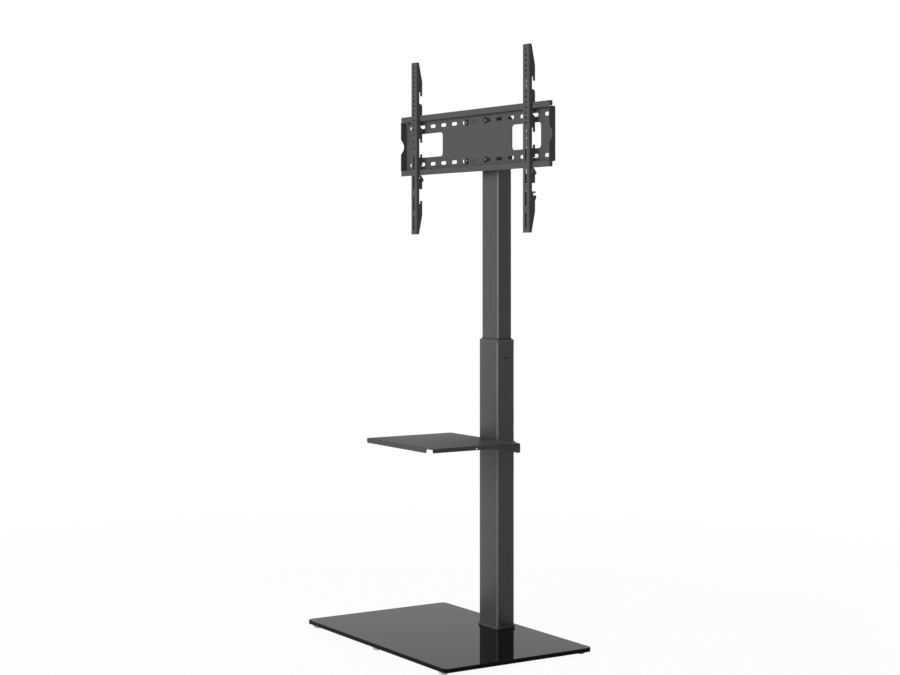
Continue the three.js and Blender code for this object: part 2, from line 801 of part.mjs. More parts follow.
// Folded end: web high at the back, with ears that close the ends of both lips,
// and a sloping notch in the front edge
function endFlange() {
  const lip = plateHeight / 2;
  const web = plateWebHeight / 2;
  const mouth = plateNotchMouth / 2;
  const floor = plateNotchFloor / 2;
  return polygon([
    [0, -lip],
    [plateEarDepth - plateEarRound, -lip],
    [plateEarDepth, -lip + plateEarRound],
    [plateEarDepth, -web],
    [plateDepth, -web],
    [plateDepth, web],
    [plateEarDepth, web],
    [plateEarDepth, lip - plateEarRound],
    [plateEarDepth - plateEarRound, lip],
    [0, lip],
    [0, mouth],
    [plateNotchDepth, floor],
    [plateNotchDepth, -floor],
    [0, -mouth],
  ]);
}

// Plan outlines that round the folded corners: at the back of the web, at the front of the lips
function foldedPlan(backRound, frontRound) {
  const half = plateWidth / 2;
  const round = plateEndRound;
  const shape = new THREE.Shape();
  shape.moveTo(-half, plateDepth / 2);
  if (backRound) {
    shape.absarc(round - half, plateDepth - round, round, Math.PI, Math.PI / 2, true);
    shape.absarc(half - round, plateDepth - round, round, Math.PI / 2, 0, true);
  } else {
    shape.lineTo(-half, plateDepth);
    shape.lineTo(half, plateDepth);
  }
  shape.lineTo(half, plateDepth / 2);
  if (frontRound) {
    shape.absarc(half - round, round, round, 0, -Math.PI / 2, true);
    shape.absarc(round - half, round, round, -Math.PI / 2, -Math.PI, true);
  } else {
    shape.lineTo(half, 0);
    shape.lineTo(-half, 0);
  }
  shape.closePath();
  return shape;
}

function mountPlate() {
  const half = plateWidth / 2;
  let solid = alongX(hatSection(), -half + plateSheet / 2, half - plateSheet / 2);
  const end = alongX(endFlange(), half - plateSheet, half);
  solid = joined([solid, end, end.mirror([1, 0, 0])]);
  const web = plateWebHeight / 2;
  const lip = plateHeight / 2;
  const middle = alongZ(foldedPlan(true, false), -web, web);
  const upper = alongZ(foldedPlan(false, true), web, lip);
  solid = solid.intersect(joined([middle, upper, upper.mirror([0, 0, 1])]));
  const cutters = [];
  const low = plateDepth - plateSheet - cutOverrun;
  const high = plateDepth + cutOverrun;
  for (let index = 0; index < plateSlotCount; index += 1) {
    const x = (index - (plateSlotCount - 1) / 2) * plateSlotPitch;
    for (const row of [-1, 1]) {
      cutters.push(alongY(slotShape(plateSlotLength, plateSlotWidth), low, high)
        .translate([x, 0, row * plateSlotRowSpacing / 2]));
    }
  }
  for (const side of [-1, 1]) {
    cutters.push(alongY(roundedRectangle(windowWidth, windowHeight, windowRound), low, high)
      .translate([side * windowCentreOffset, 0, 0]));
  }
  return solid.subtract(joined(cutters)).translate([0, plateFrontY, plateCentreHeight]);
}

const webFrontY = plateBackY - plateSheet;

function plateBolt(x, z) {
  const seat = webFrontY - washerThickness;
  return rodY(plateBoltHeadRadius, seat - plateBoltHeadHeight, seat, 6)
    .add(rodY(plateBoltRadius, seat - plateBoltHeadHeight / 2, weldNutEnd - plateBoltTipShort))
    .translate([x, 0, z]);
}

function plateWasher(x, z) {
  const front = webFrontY - washerThickness;
  const bore = rodY(plateBoltRadius + runningGap, front - cutOverrun, webFrontY + cutOverrun);
  return rodY(washerRadius, front, webFrontY)
    .subtract(bore)
    .translate([x, 0, z]);
}

// Arms. The flange outline is drawn with its depth towards the back and its drop downwards.
function flangePoints(longHook) {
  const points = [[0, 0], [armEndDepth, 0], [armDepth, -armEndTaper]];
  // Three hooks that face down: a short tip, the slot behind it and a rounded shoulder
  for (const step of [-1, 0, 1]) {
    const seat = mainHookDrop + step * hookPitch;
    points.push([armDepth, -seat - hookTipLength]);
    points.push([armTipDepth, -seat - hookTipLength]);
    points.push([armTipDepth, -seat]);
    points.push([armFloorDepth, -seat]);
    if (step < 1) {
      const shoulder = seat + hookTipLength + hookMouth;
      points.push([armFloorDepth, -shoulder]);
      for (let turn = 1; turn <= shoulderSteps; turn += 1) {
        const angle = (turn / shoulderSteps) * Math.PI / 2;
        points.push([
          armFloorDepth + (armDepth - armFloorDepth) * Math.sin(angle),
          -shoulder - armTopShoulder * (1 - Math.cos(angle)),
        ]);
      }
    }
  }
  // Three hooks that face up, each an open slot with its tip
  for (const step of [0, 1, 2]) {
    const seat = lowerHookSeatDrop + step * hookPitch;
    const long = longHook && step === 2;
    const floor = long ? longFloorDepth : armFloorDepth;
    if (step > 0) {
      const mouth = lowerMouthTop + (step - 1) * lowerMouthPitch;
      points.push([armDepth, -mouth]);
      points.push([armFloorDepth, -mouth]);
    }
    if (long) {
      points.push([armFloorDepth, -tabDrop + tabThickness / 2]);
      points.push([tabDepth, -tabDrop + tabThickness / 2]);
      points.push([tabDepth, -tabDrop - tabThickness / 2]);
      points.push([floor, -tabDrop - tabThickness / 2]);
    }
    points.push([floor, -seat]);
    points.push([long ? longTipInner : armTipDepth, -seat]);
    if (long) {
      points.push([longTipInner, -longTipDrop]);
      points.push([longTipOuter, -longTipDrop]);
      points.push([longTipOuter, -longTipBend]);
      points.push([armDepth, -seat - tabThickness]);
    } else {
      points.push([armTipDepth, -seat + lowerHookRise]);
      points.push([armDepth, -seat + lowerHookRise]);
    }
  }
  points.push([armDepth, -armLength + armEndTaper]);
  points.push([armEndDepth, -armLength]);
  points.push([0, -armLength]);
  return points.reverse();
}

// U section of the channel, open at the back
function channelSection() {
  const half = armWidth / 2;
  const inner = half - armSheet;
  const bend = armBendRadius;
  const tight = armBendRadius - armSheet;
  const rear = armDepth + cutOverrun;
  const shape = new THREE.Shape();
  shape.moveTo(-half, rear);
  shape.lineTo(-half, bend);
  shape.absarc(-half + bend, bend, bend, Math.PI, 1.5 * Math.PI);
  shape.absarc(half - bend, bend, bend, 1.5 * Math.PI, 2 * Math.PI);
  shape.lineTo(half, rear);
  shape.lineTo(inner, rear);
  shape.absarc(half - bend, bend, tight, 0, -Math.PI / 2, true);
  shape.absarc(-half + bend, bend, tight, -Math.PI / 2, -Math.PI, true);
  shape.lineTo(-inner, rear);
  shape.closePath();
  return shape;
}

function armSolid(longHook) {
  const reach = armWidth / 2 + cutOverrun;
  const channel = alongZ(channelSection(), -armLength - cutOverrun, cutOverrun);
  let solid = channel.intersect(alongX(polygon(flangePoints(longHook)), -reach, reach));
  const cutters = [];
  const high = armSheet + cutOverrun;
  for (let index = 0; index < armHoleCount; index += 1) {
    cutters.push(rodY(armHoleRadius, -cutOverrun, high, holeSides)
      .translate([0, 0, -armHoleFirstDrop - index * armHolePitch]));
  }
  for (const drop of armSpareHoleDrops) {
    cutters.push(rodY(armHoleRadius, -cutOverrun, high, holeSides).translate([0, 0, -drop]));
  }
  for (let index = 0; index < armSlotCount; index += 1) {
    const outline = roundedRectangle(2 * armHoleRadius, armSlotLength, armHoleRadius);
    cutters.push(alongY(outline, -cutOverrun, high)
      .translate([0, 0, -armSlotFirstDrop - index * armSlotPitch]));
  }
  const bore = rodX(latchPinRadius + runningGap, -reach, reach)
    .translate([0, latchPivotDepth, -latchPivotDrop]);
  return solid.subtract(joined(cutters)).subtract(bore);
}

const armPlace = (side) => [side * armSpacing / 2, armFrontY, armTop];

// Latch outline round its pivot: first coordinate to the back, second upwards
function latchShape() {
  const toothFront = plateFrontY + plateSheet + latchToothGap - armFrontY - latchPivotDepth;
  const toothBack = toothFront + latchToothThickness;
  const shape = new THREE.Shape();
  shape.moveTo(toothFront, latchToothTop);
  shape.lineTo(toothFront, latchLedgeRise);
  shape.lineTo(-latchLedgeDepth, latchLedgeRise);
  shape.lineTo(-latchLedgeDepth, latchLedgeRise - latchLedgeHeight);
  shape.lineTo(-latchStemFront, latchStemTopRise);
  shape.lineTo(-latchStemFront, latchStemFootRise);
  shape.lineTo(-latchShoulderDepth, latchShoulderRise);
  shape.absarc(0, 0, latchHubRadius, Math.PI, 2 * Math.PI);
  shape.lineTo(latchHubRadius, latchNeckRise);
  shape.lineTo(latchNubDepth, latchNubRise);
  shape.lineTo(latchNubDepth, latchNubRise + latchNubHeight);
  shape.lineTo(toothBack, latchToothRootRise);
  shape.lineTo(toothBack, latchToothTop);
  shape.closePath();
  return shape;
}

// Folded latch: a block round the pivot pin with two cheeks that carry the teeth and nubs
function latch(side) {
  const half = armWidth / 2 - armSheet - latchSideGap;
  const inner = half - latchSheet;
  const hole = rodX(latchPinRadius + runningGap, -half - cutOverrun, half + cutOverrun);
  const space = alongX(polygon([
    [-latchHubRadius - cutOverrun, latchWebTop],
    [latchNubDepth + cutOverrun, latchWebTop],
    [latchNubDepth + cutOverrun, latchToothTop + cutOverrun],
    [-latchHubRadius - cutOverrun, latchToothTop + cutOverrun],
  ]), -inner, inner);
  return alongX(latchShape(), -half, half, 2 * arcSteps)
    .subtract(hole)
    .subtract(space)
    .translate([0, latchPivotDepth, -latchPivotDrop])
    .translate(armPlace(side));
}

function latchPin(side) {
  const half = armWidth / 2 + latchPinProud;
  return rodX(latchPinRadius, -half, half)
    .translate([0, latchPivotDepth, -latchPivotDrop])
    .translate(armPlace(side));
}

// The base
addPart('base_glass', baseGlass(), blackGlass);
let footNumber = 0;
for (const sideY of [-1, 1]) {
  for (const column of [-1, 0, 1]) {
    footNumber += 1;
    const x = column * (glassWidth / 2 - footInsetX);
    const y = sideY * (glassDepth / 2 - footInsetY);
    addPart(`base_foot_${footNumber}`, baseFoot().translate([x, y, 0]), paleRubber);
  }
}
addPart('base_clamp_gasket', clampLayer(
  footHeight - clampGasketThickness, footHeight, baseBoltRadius + boltHoleClearance), blackRubber);
addPart('base_clamp_plate', clampLayer(
  footHeight - clampGasketThickness - clampPlateThickness,
  footHeight - clampGasketThickness, baseBoltRadius + boltHoleClearance), darkSteel);
baseBoltPlaces().forEach(([x, y], index) => {
  addPart(`base_bolt_${index + 1}`, baseBolt().translate([x, y, 0]), zincSteel);
});

// The column
addPart('column_foot_gasket', footGasket(), blackRubber);
addPart('column_foot_block', footBlock(), darkSteel);
addPart('column_trim_collar', trimCollar(), blackPlastic);
addPart('column_lower_tube', lowerTube(), powderCoat);
addPart('column_top_collar', topCollar(), blackPlastic);
addPart('column_upper_tube', upperTube(), powderCoat);
addPart('column_slide_shoe', slideShoe(), blackPlastic);
addPart('column_head_cap', headCap(), blackPlastic);
addPart('height_lock_screw', lockScrew(), darkSteel);

// The shelf
addPart('shelf_tray', shelfTray(), powderCoat);
addPart('shelf_saddle', saddle(), powderCoat);
addPart('shelf_front_pad', frontPad(), blackRubber);
addPart('shelf_rear_pad', rearPad(), blackRubber);
addPart('shelf_strap', strap(), powderCoat);
addPart('shelf_clamp_bolt_left', clampBolt(-1), darkSteel);
addPart('shelf_clamp_bolt_right', clampBolt(1), darkSteel);
addPart('shelf_clamp_nut_left', clampNut(-1), zincSteel);
addPart('shelf_clamp_nut_right', clampNut(1), zincSteel);

// The head of the column and the rail plate
addPart('head_bracket', headBracket(), powderCoat);
crossBoltHeights().forEach((height, index) => {
  const word = index === 0 ? 'lower' : 'upper';
  addPart(`head_cross_bolt_${word}`, crossBolt(height), darkSteel);
  addPart(`head_cross_nut_${word}`, crossNut(height), zincSteel);
});
addPart('mount_plate', mountPlate(), powderCoat);
plateBoltPlaces().forEach(([x, z], index) => {
  addPart(`plate_washer_${index + 1}`, plateWasher(x, z), darkSteel);
  addPart(`plate_bolt_${index + 1}`, plateBolt(x, z), darkSteel);
});

// The arms
for (const [word, side] of [['left', -1], ['right', 1]]) {
  addPart(`${word}_arm`, armSolid(side > 0).translate(armPlace(side)), powderCoat);
  addPart(`${word}_latch`, latch(side), darkSteel);
  addPart(`${word}_latch_pin`, latchPin(side), darkSteel);
}

export default stand;
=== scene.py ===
import json
import math

import bmesh
import bpy
from mathutils import Matrix, Vector


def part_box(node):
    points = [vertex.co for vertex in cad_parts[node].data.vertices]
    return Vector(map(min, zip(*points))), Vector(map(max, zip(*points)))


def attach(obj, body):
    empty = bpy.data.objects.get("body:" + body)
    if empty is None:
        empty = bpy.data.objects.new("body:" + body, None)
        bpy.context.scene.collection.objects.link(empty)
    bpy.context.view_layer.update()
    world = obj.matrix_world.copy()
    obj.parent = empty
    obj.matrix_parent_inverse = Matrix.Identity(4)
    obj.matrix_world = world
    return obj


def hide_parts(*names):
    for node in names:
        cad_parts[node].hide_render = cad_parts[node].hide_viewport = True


# Floor stand: glass base, telescopic column, media shelf, rail plate and two hooked arms. The
# origin is on the floor under the middle of the base. The camera, lamps and patterns are in
# metres. Pieces are shaped in millimetres and finished in metres.
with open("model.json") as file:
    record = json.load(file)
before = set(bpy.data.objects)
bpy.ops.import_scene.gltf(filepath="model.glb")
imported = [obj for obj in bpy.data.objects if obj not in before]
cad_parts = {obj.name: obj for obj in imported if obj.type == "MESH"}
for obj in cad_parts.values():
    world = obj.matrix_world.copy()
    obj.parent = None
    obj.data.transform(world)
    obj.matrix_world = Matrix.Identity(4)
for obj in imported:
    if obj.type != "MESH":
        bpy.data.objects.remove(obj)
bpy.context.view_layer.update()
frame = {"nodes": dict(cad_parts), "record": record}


# Sizes in millimetres. A tube's outline is its width, depth and corner radius.
MM = 0.001
glass_outline = (660.0, 420.0, 15.0)
glass_low = 8.0
glass_top = 18.0
column_y = 156.4
tube_foot = 19.0
tube_top = 735.0
upper_foot = 539.0
head_top = 1308.6
lower_outside = (82.4, 52.4, 4.6)
lower_inside = (78.4, 48.4, 2.6)
upper_outside = (72.0, 42.0, 3.6)
upper_inside = (68.0, 38.0, 1.6)
foot_outside = (87.8, 57.8, 7.0)
guide_bore = (72.6, 42.6, 3.9)
lock_height = tube_top - 37.6
tray_top = 496.0
tray_back = 122.0
tray_front = -136.0
tray_half = 155.5
plate_height = 1242.6
plate_back = 96.0
rail_pitch = 49.0
arm_top = 1459.7
arm_face = 66.6
arm_x = 254.4
catch_y, catch_z = 79.5, 1138.0
sheet = 2.0
quarter_turn = math.pi / 2


# Camera and lamps

def make_camera():
    data = bpy.data.cameras.new("product_view")
    data.lens = 71.455
    data.sensor_width = 36.0
    data.shift_y = -0.0953
    data.clip_end = 200.0
    camera = bpy.data.objects.new("product_view", data)
    camera.location = (3.73674, -2.39147, 0.9642)
    camera.rotation_euler = (math.radians(90.0), 0.0, math.radians(57.21))
    bpy.context.scene.collection.objects.link(camera)
    bpy.context.scene.camera = camera


def soft_box(name, place, aim, width, height, power):
    data = bpy.data.lights.new(name, "AREA")
    data.shape = "RECTANGLE"
    data.size = width
    data.size_y = height
    data.energy = power
    lamp = bpy.data.objects.new(name, data)
    lamp.location = place
    lamp.rotation_euler = (Vector(aim) - Vector(place)).to_track_quat("-Z", "Y").to_euler()
    bpy.context.scene.collection.objects.link(lamp)


make_camera()
column_middle = (0.0, 0.1, 0.8)
soft_box("front_softbox", (-0.6, -4.6, 1.75), column_middle, 2.0, 2.6, 190.0)
soft_box("right_strip", (2.4, -3.7, 1.2), column_middle, 1.2, 2.8, 88.0)
soft_box("overhead_softbox", (0.0, 0.3, 4.2), (0.0, 0.1, 0.6), 2.2, 2.2, 10.0)
soft_box("rear_fill", (-1.0, 4.6, 2.4), column_middle, 2.4, 2.4, 110.0)


# Finishes

WHITE = (1.0, 1.0, 1.0, 1.0)

# Patterns, as noise scales: how many changes of tone there are in a metre
slow_tone = 5.0
drawing_lines = 150.0
orange_peel = 620.0
powder_grain = 2600.0


class Link:
    """An output of a node. Sums on it add the Math nodes that work them out."""

    def __init__(self, nodes, socket):
        self.nodes = nodes
        self.socket = socket

    def _math(self, operation, first, second):
        return self.nodes.node(
            "ShaderNodeMath", {"operation": operation}, {0: first, 1: second})

    def __add__(self, other):
        return self._math("ADD", self, other)

    def __radd__(self, other):
        return self._math("ADD", other, self)

    def __sub__(self, other):
        return self._math("SUBTRACT", self, other)

    def __rsub__(self, other):
        return self._math("SUBTRACT", other, self)

    def __mul__(self, other):
        return self._math("MULTIPLY", self, other)

    def __rmul__(self, other):
        return self._math("MULTIPLY", other, self)

    def __truediv__(self, other):
        return self._math("DIVIDE", self, other)

    def __rtruediv__(self, other):
        return self._math("DIVIDE", other, self)

    def __pow__(self, other):
        return self._math("POWER", self, other)

    def __rpow__(self, other):
        return self._math("POWER", other, self)

    def size(self):
        return self.nodes.node("ShaderNodeMath", {"operation": "ABSOLUTE"}, {0: self})

    def clamped(self):
        return self.nodes.node("ShaderNodeClamp", {}, {0: self})


class Nodes:
    """A tree of nodes that ends in one output."""

    def __init__(self, tree, output):
        self.tree = tree
        self.tree.nodes.clear()
        self.output = self.tree.nodes.new(output)

    def feed(self, socket, value):
        if isinstance(value, Link):
            self.tree.links.new(value.socket, socket)
        else:
            socket.default_value = value

    def node(self, kind, settings=None, values=None, out=0):
        """Adds a node, given its settings and the values or links of its sockets."""
        made = self.tree.nodes.new(kind)
        for key, setting in (settings or {}).items():
            setattr(made, key, setting)
        for key, value in (values or {}).items():
            self.feed(made.inputs[key], value)
        return Link(self, made.outputs[out])

    def end_in(self, shader):
        self.feed(self.output.inputs["Surface"], shader)

    def seen(self):
        """1 for what is seen straight, in gloss or through glass, and 0 for what only lights."""
        camera, gloss, glass = [
            self.node("ShaderNodeLightPath", {}, {}, f"Is {kind} Ray")
            for kind in ("Camera", "Glossy", "Transmission")]
        return (camera + gloss + glass).clamped()


class Finish(Nodes):
    """A material with one surface shader."""

    def __init__(self, name):
        self.material = bpy.data.materials.new(name)
        self.material.use_nodes = True
        super().__init__(self.material.node_tree, "ShaderNodeOutputMaterial")
        self.shader = self.node("ShaderNodeBsdfPrincipled")
        self.end_in(self.shader)

    def set(self, **sockets):
        for key, value in sockets.items():
            self.feed(self.shader.socket.node.inputs[key.replace("_", " ")], value)

    def place(self):
        """Object coordinates, in metres."""
        return self.node("ShaderNodeTexCoord", {}, {}, "Object")

    def stretched(self, scale):
        return self.node("ShaderNodeMapping", {}, {"Vector": self.place(), "Scale": scale})

    def noise(self, scale, detail=2.0, rough=0.5, vector=None):
        return self.node(
            "ShaderNodeTexNoise", {"noise_dimensions": "3D"},
            {"Vector": vector or self.place(), "Scale": scale, "Detail": detail,
             "Roughness": rough})

    def mix(self, factor, first, second):
        return self.node(
            "ShaderNodeMix", {"data_type": "RGBA"}, {0: factor, 6: first, 7: second}, 2)

    def tones(self, pattern, tone, low=0.8, high=1.2):
        """A grey that goes from low to high times its tone as the pattern goes from 0 to 1."""
        return self.mix(pattern, grey(tone * low), grey(tone * high))

    def bump(self, height, distance, strength):
        self.set(Normal=self.node(
            "ShaderNodeBump", {}, {"Height": height, "Distance": distance, "Strength": strength}))


def grey(level):
    return (level, level, level * 1.03, 1.0)


def past_corner(coat, axis, middle, half, radius):
    """How far round a tube's rounded corner a point lies along one axis, from 0 to 1."""
    place = coat.node("ShaderNodeSeparateXYZ", {}, {"Vector": coat.place()}, axis)
    return (((place - middle).size() - (half - radius)) / radius).clamped()


def column_coat(name, outside, tone, rough, level):
    """Black coat on drawn tube: upright drawing lines, and a painted highlight, a lighter tone
    painted over the rounded corners."""
    coat = Finish(name)
    slow = coat.noise(slow_tone, 3.0)
    grain = coat.noise(powder_grain, 1.0)
    peel = coat.noise(orange_peel, 2.0)
    drawn = coat.noise(drawing_lines, 2.0, 0.6, coat.stretched((1.0, 1.0, 0.004)))
    shade = (slow * 0.2 + grain * 0.4 + drawn * 0.4).clamped()
    width, depth, radius = [size * MM for size in outside]
    across = past_corner(coat, "X", 0.0, width / 2, radius)
    along = past_corner(coat, "Y", column_y * MM, depth / 2, radius)
    # Painted highlight: the base colour is lightened over the tube's four rounded corners,
    # standing in for the bright ridge that light gives there.
    corner_highlight = (across * along * 2.0).clamped() ** 0.6
    corner_highlight_tone = 0.1
    # The base colour goes from the coat's tone to the painted highlight's light grey over the
    # corners.
    coat.set(
        Base_Color=coat.mix(
            corner_highlight * (0.85 + drawn * 0.3), coat.tones(shade, tone), grey(corner_highlight_tone)),
        Roughness=rough + (grain - 0.5) * 0.12 + (drawn - 0.5) * 0.1,
        Specular_IOR_Level=level)
    coat.bump(peel * 0.7 + grain * 0.3, 0.00006, 0.4)
    return coat.material


def powder_coat(name, tone, rough, level):
    """Satin powder coat: orange peel, a fine sparkle and slow changes of tone."""
    coat = Finish(name)
    slow = coat.noise(slow_tone, 3.0)
    grain = coat.noise(powder_grain, 1.0)
    peel = coat.noise(orange_peel, 2.0)
    shade = slow * 0.35 + grain * 0.65
    coat.set(
        Base_Color=coat.tones(shade.clamped(), tone),
        Roughness=rough + (grain - 0.5) * 0.12 + (slow - 0.5) * 0.08,
        Specular_IOR_Level=level)
    coat.bump(peel * 0.7 + grain * 0.3, 0.00005, 0.35)
    return coat.material


def steel(name, tone, rough, metallic=1.0):
    """Plain turned or rolled steel under a fine plating or blackening."""
    made = Finish(name)
    slow = made.noise(90.0, 3.0)
    fine = made.noise(3000.0, 1.0)
    made.set(
        Base_Color=made.tones(slow, tone, high=1.15),
        Roughness=rough + (slow - 0.5) * 0.16 + (fine - 0.5) * 0.06,
        Metallic=metallic)
    made.bump(fine, 0.00003, 0.4)
    return made.material


def moulded(name, tone, rough, grain_size):
    """Moulded rubber or plastic with a fine even texture."""
    made = Finish(name)
    slow = made.noise(14.0, 2.0)
    grain = made.noise(grain_size, 2.0)
    made.set(
        Base_Color=made.tones(slow * 0.5 + grain * 0.5, tone),
        Roughness=rough + (grain - 0.5) * 0.15,
        Specular_IOR_Level=0.35)
    made.bump(grain, 0.0001, 0.5)
    return made.material


def polished_glass(name, tone, rough, level):
    """Black toughened glass with a very slight haze and sparse dust."""
    made = Finish(name)
    haze = made.noise(3.0, 4.0, 0.55, made.stretched((1.0, 2.4, 1.0)))
    dust = made.noise(1500.0, 0.0)
    specks = ((dust - 0.74) * 9.0).clamped()
    made.set(
        Base_Color=made.tones(specks, tone, 1.0, 4.0),
        Roughness=rough + (haze - 0.45).clamped() * 0.05 + specks * 0.1,
        IOR=1.5, Specular_IOR_Level=level)
    return made.material


def lit_white(name, own, share, near, far):
    """A pale surface that is seen as white, by this share near the object and wholly past far."""
    made = Finish(name)
    made.set(Base_Color=grey(own), Roughness=0.9, Specular_IOR_Level=0.0)
    distance = made.node(
        "ShaderNodeVectorMath", {"operation": "LENGTH"}, {0: made.place()}, "Value")
    out = ((distance - near) / (far - near)).clamped()
    glow = made.node("ShaderNodeEmission", {}, {"Color": WHITE, "Strength": 1.0})
    made.end_in(made.node(
        "ShaderNodeMixShader", {},
        {0: made.seen() * (share + out * (1.0 - share)), 1: made.shader, 2: glow}))
    return made.material


# Background and floor

def make_world(ambient):
    """Seen as white, while it lights the object only softly."""
    world = bpy.data.worlds.new("studio")
    world.use_nodes = True
    bpy.context.scene.world = world
    nodes = Nodes(world.node_tree, "ShaderNodeOutputWorld")
    soft = nodes.node("ShaderNodeBackground", {}, {"Color": WHITE, "Strength": ambient})
    white = nodes.node("ShaderNodeBackground", {}, {"Color": WHITE, "Strength": 1.0})
    nodes.end_in(nodes.node("ShaderNodeMixShader", {}, {0: nodes.seen(), 1: soft, 2: white}))


def make_floor():
    shape = bmesh.new()
    bmesh.ops.create_circle(shape, cap_ends=True, segments=96, radius=25.0)
    mesh = bpy.data.meshes.new("floor")
    shape.to_mesh(mesh)
    shape.free()
    floor = bpy.data.objects.new("floor", mesh)
    floor.data.materials.append(lit_white("pale_floor", 0.85, 0.95, 1.0, 2.6))
    bpy.context.scene.collection.objects.link(floor)


make_world(0.15)
make_floor()
bpy.context.scene.view_settings.view_transform = "Standard"

finishes = {
    "lower_column": column_coat("lower_column_coat", lower_outside, 0.04, 0.28, 0.3),
    "upper_column": column_coat("upper_column_coat", upper_outside, 0.04, 0.28, 0.3),
    "coat": powder_coat("sheet_coat", 0.062, 0.55, 0.05),
    "tray": powder_coat("tray_coat", 0.063, 0.37, 0.01),
    "blackened": steel("blackened_steel", 0.05, 0.32, 0.85),
    "zinc": steel("zinc_plate", 0.62, 0.3),
    "dark": steel("dark_steel", 0.02, 0.45, 0.5),
    "polished": steel("polished_black_steel", 0.06, 0.14, 0.95),
    "glass": polished_glass("black_glass", 0.004, 0.015, 0.035),
    "feet": moulded("clear_grey_feet", 0.42, 0.35, 700.0),
    "rubber": moulded("black_rubber", 0.016, 0.75, 900.0),
    "plastic": moulded("black_plastic", 0.045, 0.5, 1400.0),
}
slot_finish = {
    "powder_coat": "coat", "dark_bolt_steel": "blackened", "zinc_steel": "zinc",
    "base_glass": "glass", "foot_rubber": "feet", "black_rubber": "rubber",
    "black_plastic": "plastic",
}
slot_of = {row["node"]: row["material_slot"] for row in frame["record"]["subparts"]}
carrier = {node: body
           for body, nodes in frame["record"]["behaviour"]["bodies"].items() for node in nodes}


# Shaping

bend_steps = 6
small_rounding = 1.5
crease = math.radians(32.0)


def bar(shape, size, low, high, steps=8):
    """Upright bar round the Z axis, given its width, depth and corner radius. Gives its faces."""
    width, depth, radius = size
    others = set(shape.faces)
    made = bmesh.ops.create_cube(shape, size=1.0)["verts"]
    bmesh.ops.scale(shape, vec=(width, depth, high - low), verts=made)
    bmesh.ops.translate(shape, vec=(0.0, 0.0, (low + high) / 2), verts=made)
    upright = {edge for vert in made for edge in vert.link_edges
               if (edge.verts[0].co - edge.verts[1].co).xy.length < 0.001}
    bmesh.ops.bevel(
        shape, geom=list(upright), offset=radius, offset_type="OFFSET", segments=steps,
        profile=0.5, affect="EDGES", material=-1)
    return [face for face in shape.faces if face not in others]


def hollow_bar(shape, outer, inner, low, high):
    """Tube between two rounded outlines, each given as width, depth and corner radius."""
    rims = {False: [], True: []}
    for size in (outer, inner):
        made = bar(shape, size, low, high)
        shape.normal_update()
        for face in [face for face in made if abs(face.normal.z) > 0.9]:
            rims[face.calc_center_median().z > (low + high) / 2] += list(face.edges)
            bmesh.ops.delete(shape, geom=[face], context="FACES_ONLY")
    for edges in rims.values():
        bmesh.ops.bridge_loops(shape, edges=edges)


def ring(shape, x, y, width, height, radius, steps=6):
    """Closed outline of a circle, slot or rounded rectangle in the XY plane."""
    share = math.pi / (4 * steps)
    made = bmesh.ops.create_circle(
        shape, cap_ends=False, segments=4 * steps, radius=radius / math.cos(share),
        matrix=Matrix.Rotation(share, 4, "Z"))["verts"]
    for vert in made:
        spread = Vector((
            math.copysign(width / 2 - radius, vert.co.x),
            math.copysign(height / 2 - radius, vert.co.y), 0.0))
        vert.co += spread + Vector((x, y, 0.0))
    return made


def circle(shape, x, y, radius, steps=6):
    return ring(shape, x, y, 2 * radius, 2 * radius, radius, steps)


def outline(shape, corners):
    """Closed outline through corner points, each given as x, y and the size of its rounding."""
    verts = [shape.verts.new((x, y, 0.0)) for x, y, _ in corners]
    shape.faces.new(verts)
    for size in sorted({corner[2] for corner in corners if corner[2]}):
        bmesh.ops.bevel(
            shape, geom=[vert for vert, corner in zip(verts, corners) if corner[2] == size],
            offset=size, offset_type="OFFSET", segments=2 if size < small_rounding else 6,
            profile=0.5, affect="VERTICES", clamp_overlap=True, material=-1)
    bmesh.ops.delete(shape, geom=shape.faces[:], context="FACES_ONLY")
    bmesh.ops.remove_doubles(shape, verts=shape.verts[:], dist=0.001)


def mirrored(corners):
    """The corners on the other side of the Y axis, in the order that closes the outline."""
    return [(-x, y, size) for x, y, size in reversed(corners)]


def fill(shape):
    """Fills the outlines and leaves the inner ones open."""
    bmesh.ops.triangle_fill(
        shape, use_beauty=True, use_dissolve=False, edges=shape.edges[:], normal=(0.0, 0.0, 1.0))


def thicken(shape, thick):
    """Gives a filled outline its thickness, downwards."""
    made = bmesh.ops.extrude_face_region(shape, geom=shape.faces[:])["geom"]
    bmesh.ops.translate(
        shape, vec=(0.0, 0.0, -thick),
        verts=[item for item in made if isinstance(item, bmesh.types.BMVert)])


def fold(shape, out, turn, start, radius, skin, keep=None):
    """Bends the sheet past a line by a right angle. out points across the line and turn to where
    the flap goes. radius is the bend's outside radius, and skin how far the outside face lies
    against turn. keep tells which points bend."""
    out, turn = Vector(out), Vector(turn)
    length = radius * math.pi / 2
    for step in range(bend_steps + 1):
        bmesh.ops.bisect_plane(
            shape, geom=shape.verts[:] + shape.edges[:] + shape.faces[:], dist=0.001,
            plane_co=out * (start + length * step / bend_steps), plane_no=out)
    for vert in shape.verts:
        across = vert.co.dot(out) - start
        if across <= 0.0005 or (keep and not keep(vert.co)):
            continue
        angle = min(across / length, 1.0) * math.pi / 2
        rest = max(across - length, 0.0)
        depth = skin + vert.co.dot(turn)
        moved = (radius - depth) * math.sin(angle) + rest * math.cos(angle)
        sunk = radius - (radius - depth) * math.cos(angle) + rest * math.sin(angle)
        vert.co += out * (moved - across) + turn * (sunk - depth)


